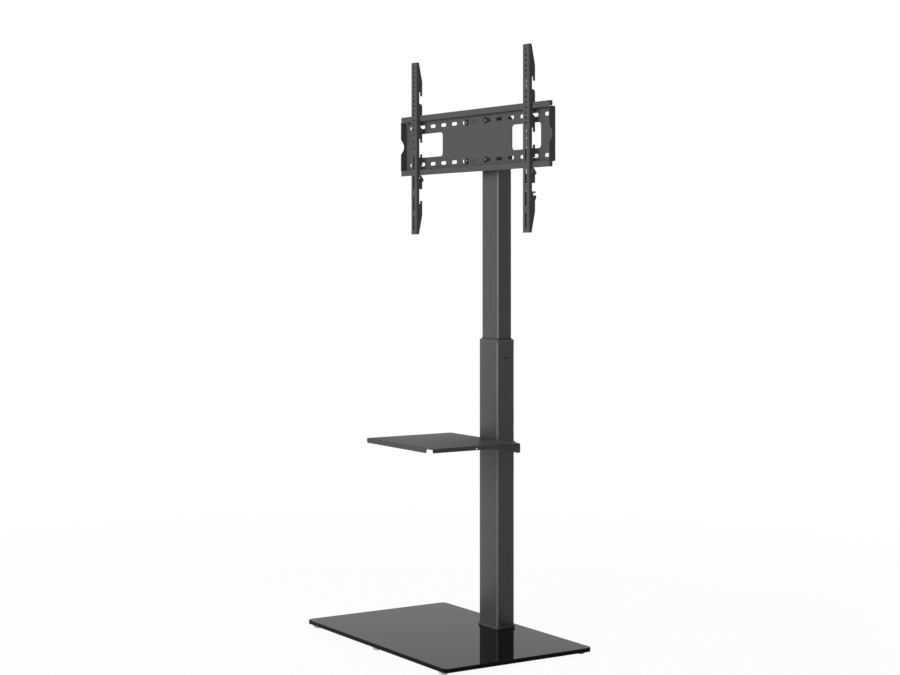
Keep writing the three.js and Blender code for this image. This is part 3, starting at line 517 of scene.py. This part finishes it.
def turned(shape, profile, steps=24):
    """Turned part, from a profile of radius and height pairs that starts and ends on the axis."""
    verts = [shape.verts.new((radius, 0.0, height)) for radius, height in profile]
    edges = [shape.edges.new(pair) for pair in zip(verts, verts[1:])]
    bmesh.ops.spin(
        shape, geom=verts + edges, cent=(0.0, 0.0, 0.0), axis=(0.0, 0.0, 1.0), angle=2 * math.pi,
        steps=steps, use_merge=True)
    bmesh.ops.remove_doubles(shape, verts=shape.verts[:], dist=0.0001)


def one_face_above(shape, height):
    """Joins the faces of a turned part's flat end into one."""
    bmesh.ops.dissolve_faces(
        shape, faces=[face for face in shape.faces if face.calc_center_median().z > height])


def sunk_hexagon(shape, height, radius, depth):
    """Hexagon socket in the flat round face that lies at this height."""
    shape.normal_update()
    face = max((face for face in shape.faces if abs(face.calc_center_median().z - height) < 0.01),
               key=lambda face: len(face.verts))
    bmesh.ops.inset_region(shape, faces=[face], thickness=0.05, use_even_offset=True)
    for vert in face.verts:
        place = math.atan2(vert.co.y, vert.co.x) % (math.pi / 3) - math.pi / 6
        vert.co.xy = vert.co.xy.normalized() * radius * math.cos(math.pi / 6) / math.cos(place)
    floor = bmesh.ops.extrude_discrete_faces(shape, faces=[face])["faces"][0]
    bmesh.ops.translate(shape, vec=(0.0, 0.0, -depth), verts=floor.verts[:])


def bolt(head_radius, head_height, shank_radius, length, socket):
    """Low domed bolt that stands on its seat at height zero, with its shank below."""
    shape = bmesh.new()
    flat, edge_share, dome_steps, chamfer = socket * 1.25, 0.3, 6, 0.6
    dome = [(flat + (head_radius - flat) * math.sin(step * math.pi / (2 * dome_steps)),
             head_height * (edge_share + (1.0 - edge_share)
                            * math.cos(step * math.pi / (2 * dome_steps))))
            for step in range(dome_steps + 1)]
    profile = [(0.0, head_height)] + dome + [
        (head_radius, 0.0), (shank_radius, 0.0), (shank_radius, chamfer - length),
        (shank_radius - chamfer, -length), (0.0, -length)]
    turned(shape, profile, 36)
    one_face_above(shape, head_height - 0.01)
    sunk_hexagon(shape, head_height, socket, head_height * 0.6)
    return shape


def hexagon(radius, low, high, bore=0.0):
    """Hexagon bar or nut, upright."""
    shape = bmesh.new()
    bmesh.ops.create_circle(shape, cap_ends=False, segments=6, radius=radius)
    if bore:
        circle(shape, 0.0, 0.0, bore)
    fill(shape)
    thicken(shape, high - low)
    bmesh.ops.translate(shape, vec=(0.0, 0.0, high), verts=shape.verts)
    return shape


def plate(width, height, radius, thick):
    """Flat plate with rounded corners, its face at height zero."""
    shape = bmesh.new()
    ring(shape, 0.0, 0.0, width, height, radius)
    fill(shape)
    thicken(shape, thick)
    return shape


def shift(shape, x, y, z):
    bmesh.ops.translate(shape, vec=(x, y, z), verts=shape.verts)
    return shape


def rotate(shape, matrix):
    bmesh.ops.rotate(shape, cent=(0, 0, 0), matrix=matrix, verts=shape.verts)
    return shape


def face_front(shape):
    """What pointed up points to the front, and what pointed back points up."""
    return rotate(shape, Matrix.Rotation(quarter_turn, 3, "X"))


def face_side(shape):
    """What pointed up points to the right."""
    return rotate(shape, Matrix.Rotation(quarter_turn, 3, "Y"))


def add(shape, other):
    """Joins another shape to this one."""
    mesh = bpy.data.meshes.new("joined")
    other.to_mesh(mesh)
    shape.from_mesh(mesh)
    other.free()
    bpy.data.meshes.remove(mesh)


def finished(shape, name, nodes, finish, rim=0.0, rim_steps=2, body=None, slot=None):
    """Makes the piece an object that rides with its nodes' body and stands for those nodes.
    rim is the rounding of its edges. body is for a piece that stands for no node. slot is not
    used."""
    bmesh.ops.scale(shape, vec=(MM, MM, MM), verts=shape.verts)
    bmesh.ops.recalc_face_normals(shape, faces=shape.faces[:])
    for face in shape.faces:
        face.smooth = True
    if not rim:
        for edge in shape.edges:
            edge.smooth = edge.calc_face_angle(0.0) < crease
    mesh = bpy.data.meshes.new(name)
    shape.to_mesh(mesh)
    shape.free()
    piece = bpy.data.objects.new(name, mesh)
    bpy.context.scene.collection.objects.link(piece)
    mesh.materials.append(finishes[finish])
    if rim:
        soften = piece.modifiers.new("soft_edges", "BEVEL")
        soften.width = rim * MM
        soften.segments = rim_steps
        soften.limit_method = "ANGLE"
        soften.angle_limit = crease
        soften.harden_normals = True
    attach(piece, body or carrier[nodes[0]])
    if nodes:
        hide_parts(*nodes)


def middle_of(node):
    low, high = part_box(node)
    return [(a + b) / 2 / MM for a, b in zip(low, high)]


# Base

def glass_slab():
    shape = bmesh.new()
    bar(shape, glass_outline, glass_low, glass_top, 16)
    finished(shape, "glass_slab", ["base_glass"], "glass", 1.0, 3)


def feet():
    profile = [
        (0.0, 0.7), (5.2, 0.7), (5.8, 0.1), (6.4, 0.0), (8.6, 0.0), (9.5, 0.4), (10.0, 1.4),
        (11.5, 6.9), (11.9, 7.7), (12.0, glass_low), (0.0, glass_low)]
    for number in range(1, 7):
        node = f"base_foot_{number}"
        x, y, _ = middle_of(node)
        shape = bmesh.new()
        turned(shape, profile, 40)
        finished(shift(shape, x, y, 0.0), f"foot_{number}", [node], "feet")


def clamp_under_glass():
    width, depth, radius, cushion, steel_plate = 120.0, 50.0, 8.0, 1.0, 2.5
    shape = plate(width, depth, radius, cushion)
    finished(
        shift(shape, 0.0, column_y, glass_low), "clamp_cushion", ["base_clamp_gasket"], "rubber",
        0.2)
    shape = plate(width, depth, radius, steel_plate)
    finished(
        shift(shape, 0.0, column_y, glass_low - cushion), "clamp_plate", ["base_clamp_plate"],
        "blackened", 0.4)
    for number in range(1, 5):
        node = f"base_bolt_{number}"
        x, y, _ = middle_of(node)
        shape = bolt(head_radius=7.0, head_height=2.6, shank_radius=4.0, length=26.5, socket=3.4)
        rotate(shape, Matrix.Rotation(math.pi, 3, "X"))
        finished(
            shift(shape, x, y, glass_low - cushion - steel_plate), f"glass_bolt_{number}", [node],
            "zinc")


# Column

def on_column(shape, *rest):
    """Finishes a piece that was shaped round the Z axis, in its place round the column's axis."""
    finished(shift(shape, 0.0, column_y, 0.0), *rest)


def column_foot():
    shape = bmesh.new()
    bar(shape, foot_outside, glass_top, tube_foot)
    on_column(shape, "foot_cushion", ["column_foot_gasket"], "rubber", 0.2)
    trim_bore, trim_top = (83.0, 53.0, 4.9), 25.0
    shape = bmesh.new()
    hollow_bar(shape, foot_outside, trim_bore, tube_foot, trim_top)
    on_column(shape, "foot_trim", ["column_trim_collar"], "plastic", 0.9, 3)


def wall_faces(shape, x):
    """Faces that lie flat in the wall at x."""
    return [face for face in shape.faces if all(abs(vert.co.x - x) < 0.01 for vert in face.verts)]


def side_slot(shape, walls, height, length, width):
    """Cuts a slot through the right-hand wall of the lower tube, between its outside and inside
    faces. A patch of the wall twice the slot's size is replaced by one with the slot in it."""
    rims = []
    for x in walls:
        for axis, place in ((1, length), (1, -length), (2, height + width), (2, height - width)):
            cut = wall_faces(shape, x)
            level = Vector((x, 0.0, 0.0))
            level[axis] = place
            bmesh.ops.bisect_plane(
                shape, geom=cut + list({edge for face in cut for edge in face.edges}),
                plane_co=level, plane_no=Vector((0.0, float(axis == 1), float(axis == 2))))
        middle = Vector((x, 0.0, height))
        patch = min(wall_faces(shape, x),
                    key=lambda face: (face.calc_center_median() - middle).length)
        frame_edges = list(patch.edges)
        bmesh.ops.delete(shape, geom=[patch], context="FACES_ONLY")
        verts = ring(shape, 0.0, 0.0, width, length, width / 2, 4)
        rim = list({edge for vert in verts for edge in vert.link_edges})
        bmesh.ops.rotate(
            shape, cent=(0, 0, 0), matrix=Matrix.Rotation(quarter_turn, 3, "Y"), verts=verts)
        bmesh.ops.translate(shape, vec=middle, verts=verts)
        bmesh.ops.triangle_fill(
            shape, use_beauty=True, use_dissolve=False, edges=frame_edges + rim,
            normal=(1.0, 0.0, 0.0))
        rims += rim
    bmesh.ops.bridge_loops(shape, edges=rims)


def tubes():
    shape = bmesh.new()
    hollow_bar(shape, lower_outside, lower_inside, tube_foot, tube_top)
    walls = (lower_outside[0] / 2, lower_inside[0] / 2)
    side_slot(shape, walls, lock_height, length=9.4, width=5.0)
    on_column(shape, "lower_tube", ["column_lower_tube"], "lower_column", 0.3)
    shape = bmesh.new()
    hollow_bar(shape, upper_outside, upper_inside, upper_foot, head_top)
    on_column(shape, "upper_tube", ["column_upper_tube"], "upper_column", 0.3)
    cap = 3.0
    shape = bmesh.new()
    bar(shape, upper_outside, head_top, head_top + cap)
    on_column(shape, "head_cap", ["column_head_cap"], "plastic", 1.0, 3)


def guide_collar():
    collar, sleeve, wiper = 8.5, 52.0, 3.0
    sleeve_outside = (77.8, 47.8, 2.6)
    shape = bmesh.new()
    hollow_bar(shape, lower_outside, guide_bore, tube_top, tube_top + collar)
    hollow_bar(shape, sleeve_outside, guide_bore, tube_top - sleeve, tube_top)
    on_column(shape, "guide_collar", ["column_top_collar"], "plastic", 0.35)
    wiper_outside, wiper_bore = (75.2, 45.2, 5.2), (72.4, 42.4, 3.8)
    wiper_low = tube_top + collar
    shape = bmesh.new()
    hollow_bar(shape, wiper_outside, wiper_bore, wiper_low, wiper_low + wiper)
    on_column(shape, "collar_wiper", [], "rubber", 0.6, 3, "base", "black_rubber")


def lock_screw():
    radius, length, chamfer, face_x = 2.0, 3.9, 0.2, 40.2
    shape = bmesh.new()
    turned(shape, [
        (0.0, 0.0), (radius - chamfer, 0.0), (radius, -chamfer), (radius, -length),
        (0.0, -length)])
    one_face_above(shape, -0.05)
    sunk_hexagon(shape, 0.0, 1.2, 1.8)
    finished(
        shift(face_side(shape), face_x, column_y, lock_height), "lock_screw",
        ["height_lock_screw"], "dark")


# Shelf

def tray():
    """Sheet tray: a flat blank with its four flanges turned down."""
    bend, back_bend = 2.6, 5.6
    side_flange, front_flange, back_flange = 10.0, 11.7, 25.0
    arc = bend * math.pi / 2
    half = tray_half - bend
    front, back = tray_front + bend, tray_back - back_bend
    side_front, side_back = tray_front + 4.0, tray_back - 6.2
    side_end = half + arc + side_flange - bend
    front_end = front - arc - front_flange + bend
    back_end = back + back_bend * math.pi / 2 + back_flange - back_bend
    flange_left, flange_right, gap_end = -149.5, 131.5, 140.5
    corner, screw_hole, screw_low = 3.0, 2.0, 6.0
    shape = bmesh.new()
    outline(shape, [
        (flange_left, front_end, 5.0), (flange_right - 4.0, front_end, 0.6),
        (flange_right, front - arc, 0.0), (flange_right, front, 0.6), (gap_end, front, 1.0),
        (gap_end, tray_front, 0.6), (half - corner, tray_front, 0.6),
        (half, tray_front + corner, 0.6), (half, side_front, 0.0), (side_end, side_front, 1.6),
        (side_end, side_back, 2.0), (half, side_back, 0.0), (half, back_end, 6.5),
        (-half, back_end, 6.5), (-half, side_back, 0.0), (-side_end, side_back, 2.0),
        (-side_end, side_front, 1.6), (-half, side_front, 0.0), (-half, front, 0.0),
        (flange_left, front, 0.0)])
    for sign in (-1, 1):
        circle(
            shape, sign * (half + arc + screw_low - bend), (tray_front + tray_back) / 2,
            screw_hole, 4)
    fill(shape)
    thicken(shape, sheet)
    down = (0.0, 0.0, -1.0)
    fold(shape, (1.0, 0.0, 0.0), down, half, bend, 0.0)
    fold(shape, (-1.0, 0.0, 0.0), down, half, bend, 0.0)
    fold(shape, (0.0, 1.0, 0.0), down, back, back_bend, 0.0)
    fold(shape, (0.0, -1.0, 0.0), down, -front, bend, 0.0, lambda place: place.x < gap_end - 1.5)
    finished(shift(shape, 0.0, 0.0, tray_top), "tray", ["shelf_tray"], "tray", 0.35)


def shelf_clamp():
    """Saddle under the tray's rear flange, and the strap that holds it to the column."""
    clamp_height = tray_top - 17.5
    saddle_height = tray_top - 13.0
    saddle_thick, strap_thick, rear_pad_thick, strap_high = 3.0, 2.5, 1.5, 15.0
    ear, back = tray_back + saddle_thick, 186.9
    ear_end, strap_half, bore_half = 62.0, 44.0, 41.5
    bolt_x, nut_radius, nut_high, nut_bore = 53.0, 5.8, 5.0, 3.05
    shape = face_front(plate(2 * ear_end, 22.0, 5.0, saddle_thick))
    finished(shift(shape, 0.0, tray_back, saddle_height), "saddle", ["shelf_saddle"], "coat", 0.4)
    shape = face_front(plate(72.0, 22.0, 2.5, 4.9))
    finished(
        shift(shape, 0.0, ear, saddle_height), "front_pad", ["shelf_front_pad"], "rubber", 0.5)
    shape = face_front(plate(68.0, strap_high, 2.5, rear_pad_thick))
    finished(
        shift(shape, 0.0, back - strap_thick - rear_pad_thick, clamp_height), "rear_pad",
        ["shelf_rear_pad"], "rubber", 0.4)
    ear_back = ear + strap_thick
    half_strap = [
        (ear_end, ear, 0.5), (ear_end, ear_back, 0.5), (strap_half, ear_back, 2.0),
        (strap_half, back, 5.0)]
    half_bore = [(-bore_half, ear, 4.5), (-bore_half, back - strap_thick, 2.5)]
    shape = bmesh.new()
    outline(shape, half_strap + mirrored(half_strap) + half_bore + mirrored(half_bore))
    fill(shape)
    thicken(shape, strap_high)
    finished(
        shift(shape, 0.0, 0.0, clamp_height + strap_high / 2), "strap", ["shelf_strap"], "coat",
        0.4)
    for word, x in (("left", -bolt_x), ("right", bolt_x)):
        shape = face_front(bolt(
            head_radius=5.5, head_height=3.5, shank_radius=3.0, length=14.0, socket=2.6))
        finished(
            shift(shape, x, tray_back - sheet, clamp_height), f"clamp_bolt_{word}",
            [f"shelf_clamp_bolt_{word}"], "blackened")
        shape = face_front(hexagon(nut_radius, 0.0, nut_high, nut_bore))
        finished(
            shift(shape, x, ear_back + nut_high, clamp_height), f"clamp_nut_{word}",
            [f"shelf_clamp_nut_{word}"], "zinc", 0.5)


# Head bracket and rail plate

def bracket():
    """Folded bracket: a face behind the rail plate, two cheeks beside the upper tube, and the
    nuts that are welded to it."""
    steel_sheet, cheek_x, cheek_deep = 3.0, 37.8, 81.4
    nut_radius, nut_x, nut_high, nut_bore = 6.0, 42.5, 8.0, 4.1
    shape = face_front(plate(98.0, 124.0, 4.0, steel_sheet))
    shift(shape, 0.0, plate_back, plate_height)
    for sign in (-1, 1):
        cheek = face_side(plate(120.0, cheek_deep, 3.0, steel_sheet))
        add(shape, shift(
            cheek, sign * cheek_x + steel_sheet / 2, plate_back + cheek_deep / 2, plate_height))
        for row in (-1, 1):
            nut = face_front(hexagon(nut_radius, 0.0, nut_high, nut_bore))
            add(shape, shift(
                nut, sign * nut_x, plate_back + nut_high + 1.5, plate_height + row * rail_pitch))
    finished(shape, "bracket", ["head_bracket"], "coat", 0.4)


def cross_bolts():
    outside, row = 39.3, 30.0
    hex_radius, head_high, nut_high, nut_bore = 7.5, 5.3, 6.5, 4.1
    rod_radius, rod_top, rod_end, point_high, point_deep = 4.0, 1.0, -88.1, 0.7, 0.6
    for word, sign in (("lower", -1), ("upper", 1)):
        place = (column_y, plate_height + sign * row)
        shape = hexagon(hex_radius, 0.0, head_high)
        rod = bmesh.new()
        turned(rod, [
            (0.0, rod_top), (rod_radius, rod_top), (rod_radius, rod_end + point_high),
            (rod_radius - point_deep, rod_end), (0.0, rod_end)])
        add(shape, rod)
        finished(
            shift(face_side(shape), outside, *place), f"cross_bolt_{word}",
            [f"head_cross_bolt_{word}"], "blackened", 0.5)
        shape = face_side(hexagon(hex_radius, -nut_high, 0.0, nut_bore))
        finished(
            shift(shape, -outside, *place), f"cross_nut_{word}", [f"head_cross_nut_{word}"],
            "zinc", 0.5)


def rail_plate():
    """One sheet: a web with two rows of slots, stepped lips above and below, and folded ends."""
    bend, end_bend = 2.5, 3.0
    arc, end_arc = bend * math.pi / 2, end_bend * math.pi / 2
    web, end = 62.5, 333.0
    step = web + arc + 14.5
    lip = step + arc + 12.5
    tab = end + end_arc + 16.5
    notch = end + end_arc + 7.0
    ear, ear_low, ears_from = end + end_arc + 6.6, step + arc + 0.3, 70.0
    relief, tab_high, relief_low = 338.2, 65.0, 62.0
    slot_pitch, slot_wide, slot_high = 51.0, 26.0, 9.0
    window_x, window_wide, window_high, window_corner = 217.5, 122.0, 62.0, 9.0
    quarter = [
        (notch, 6.5, 5.5), (tab, 20.0, 3.0), (tab, tab_high, 1.6), (relief, tab_high, 0.6),
        (relief, relief_low, 1.0), (end, relief_low, 1.0), (end, ear_low, 1.0),
        (ear, ear_low, 0.6), (ear, lip, 3.0)]
    upper = quarter + mirrored(quarter)
    shape = bmesh.new()
    outline(shape, upper + [(x, -y, size) for x, y, size in reversed(upper)])
    for index in range(13):
        for row in (-1, 1):
            ring(
                shape, (index - 6) * slot_pitch, row * rail_pitch, slot_wide, slot_high,
                slot_high / 2)
    for sign in (-1, 1):
        ring(shape, sign * window_x, 0.0, window_wide, window_high, window_corner, 8)
    fill(shape)
    thicken(shape, sheet)
    to_front, to_back = (0.0, 0.0, 1.0), (0.0, 0.0, -1.0)
    for sign in (-1.0, 1.0):
        out = (sign, 0.0, 0.0)
        fold(shape, out, to_front, end, end_bend, sheet, lambda place: abs(place.y) < ears_from)
        fold(shape, out, to_back, end, end_bend, 0.0, lambda place: abs(place.y) > ears_from)
    for sign in (-1.0, 1.0):
        out = (0.0, sign, 0.0)
        fold(shape, out, to_back, step, bend, 0.0)
        fold(
            shape, out, to_front, web, bend, sheet,
            lambda place: abs(place.x) < end + 0.05 or abs(place.y) > ears_from)
    finished(
        shift(face_front(shape), 0.0, plate_back - sheet, plate_height), "rail_plate",
        ["mount_plate"], "coat", 0.35)


def plate_bolts():
    washer_thick, washer_radius, washer_bore = 1.2, 8.0, 4.1
    seat = plate_back - sheet - washer_thick
    for number in range(1, 5):
        node = f"plate_bolt_{number}"
        x, _, z = middle_of(node)
        shape = face_front(bolt(
            head_radius=7.4, head_height=4.0, shank_radius=4.0, length=11.7, socket=2.6))
        finished(shift(shape, x, seat, z), f"rail_bolt_{number}", [node], "polished")
        washer = bmesh.new()
        circle(washer, 0.0, 0.0, washer_radius, 9)
        circle(washer, 0.0, 0.0, washer_bore)
        fill(washer)
        thicken(washer, washer_thick)
        finished(
            shift(face_front(washer), x, seat, z), f"rail_washer_{number}",
            [f"plate_washer_{number}"], "blackened", 0.25)


# Arms and latches

def flange(long_hook):
    """Outline of an arm's flange, as depth, height and rounding, from its top to its foot. Hooks
    that open downwards hang on the plate's upper lip, and those below open upwards."""
    deep, slot, tip, soft = 18.0, 9.0, 12.5, 1.0
    pitch, end, length = 61.0, 7.8, 450.0
    upper_seat, upper_tip, upper_mouth = 138.8, 10.3, 30.1
    lower_seat, lower_tip, lower_mouth = 248.4, 8.3, 22.3
    points = [(end, 0.0, 2.0), (deep, -50.5, 4.0)]
    for step in (-1, 0, 1):
        seat = upper_seat + pitch * step
        points += [(deep, -seat - upper_tip, soft), (tip, -seat - upper_tip, soft),
                   (tip, -seat, soft), (slot, -seat, soft)]
        if step < 1:
            points += [(slot, -seat - upper_mouth, soft), (deep, -seat - upper_mouth, 8.0)]
    for step in (0, 1):
        seat = lower_seat + pitch * step
        points += [(slot, -seat, soft), (tip, -seat, soft), (tip, lower_tip - seat, soft),
                   (deep, lower_tip - seat, soft), (deep, -seat - lower_mouth, soft),
                   (slot, -seat - lower_mouth, soft)]
    seat = lower_seat + 2 * pitch
    if long_hook:
        points += [(slot, -351.7, 0.6), (19.8, -351.7, soft), (19.8, -355.5, soft),
                   (12.8, -355.5, 0.6), (12.8, -seat, 0.5), (14.0, -seat, 0.5),
                   (14.0, -361.3, soft), (21.4, -361.3, soft), (21.4, -367.0, 2.0),
                   (deep, -374.2, 2.0)]
    else:
        points += [(slot, -seat, soft), (tip, -seat, soft), (tip, lower_tip - seat, soft),
                   (deep, lower_tip - seat, soft)]
    return points + [(deep, -399.5, 4.0), (end, -length, 2.0)]


def arm(word, x):
    """Channel with a row of round holes and slots in its face, and hooks on both flanges."""
    bend, half, hole, pin_hole = 2.6, 13.4, 3.2, 2.1
    first_hole, hole_pitch = 13.4, 12.5
    first_slot, slot_pitch, slot_high = 263.0, 52.8, 37.6
    flat = half - bend
    past = flat + bend * math.pi / 2 - bend
    side = [(past + depth, height, size) for depth, height, size in flange(word == "right")]
    shape = bmesh.new()
    outline(shape, side + mirrored(side))
    for index in range(15):
        circle(shape, 0.0, -first_hole - hole_pitch * index, hole)
    for drop in (207.0, 225.5):
        circle(shape, 0.0, -drop, hole)
    for index in range(4):
        ring(shape, 0.0, -first_slot - slot_pitch * index, 2 * hole, slot_high, hole)
    for sign in (-1, 1):
        circle(shape, sign * (past + catch_y - arm_face), catch_z - arm_top, pin_hole, 4)
    fill(shape)
    thicken(shape, sheet)
    fold(shape, (1.0, 0.0, 0.0), (0.0, 0.0, -1.0), flat, bend, 0.0)
    fold(shape, (-1.0, 0.0, 0.0), (0.0, 0.0, -1.0), flat, bend, 0.0)
    finished(
        shift(face_front(shape), x, arm_face, arm_top), f"{word}_channel", [f"{word}_arm"],
        "coat", 0.35)


def latch(word, x):
    """Catch with two cheeks and a bridge below, on its pivot pin."""
    corners = [
        (-0.6, 31.5, 0.4), (-0.6, 26.0, 0.0), (-2.8, 26.0, 0.4), (-2.8, 24.4, 0.4),
        (-0.2, 22.4, 0.5), (-0.2, 13.6, 2.0), (-5.0, 9.4, 2.0), (-5.0, -5.0, 4.9),
        (5.0, -5.0, 4.9), (5.0, 6.5, 3.0), (11.4, 12.8, 1.0), (11.4, 15.4, 1.2),
        (2.0, 27.8, 1.0), (2.0, 31.5, 0.8)]
    outside, inside, bridge_top = 10.6, 8.6, 8.0
    whole = bmesh.new()
    for low, high in ((-outside, -inside), (inside, outside), (-inside, inside)):
        shape = bmesh.new()
        outline(shape, corners)
        fill(shape)
        if low == -inside:
            bmesh.ops.bisect_plane(
                shape, geom=shape.verts[:] + shape.edges[:] + shape.faces[:],
                plane_co=(0.0, bridge_top, 0.0), plane_no=(0.0, 1.0, 0.0), clear_outer=True)
        thicken(shape, high - low)
        add(whole, shift(shape, 0.0, 0.0, high))
    rotate(whole, Matrix(((0.0, 0.0, 1.0), (1.0, 0.0, 0.0), (0.0, 1.0, 0.0))))
    finished(
        shift(whole, x, catch_y, catch_z), f"{word}_catch", [f"{word}_latch"], "blackened", 0.3)
    end = [(0.0, 14.2), (1.2, 14.2), (1.8, 13.9), (2.0, 13.5)]
    pin = bmesh.new()
    turned(pin, end + [(radius, -height) for radius, height in reversed(end)])
    finished(
        shift(face_side(pin), x, catch_y, catch_z), f"{word}_pin", [f"{word}_latch_pin"],
        "blackened")


def dress(node, finish):
    slots = frame["nodes"][node].data.materials
    slots.clear()
    slots.append(finishes[finish])


for node, slot in slot_of.items():
    dress(node, slot_finish[slot])
glass_slab()
feet()
clamp_under_glass()
column_foot()
tubes()
guide_collar()
lock_screw()
tray()
shelf_clamp()
bracket()
cross_bolts()
rail_plate()
plate_bolts()
for side_name, side_x in (("left", -arm_x), ("right", arm_x)):
    arm(side_name, side_x)
    latch(side_name, side_x)
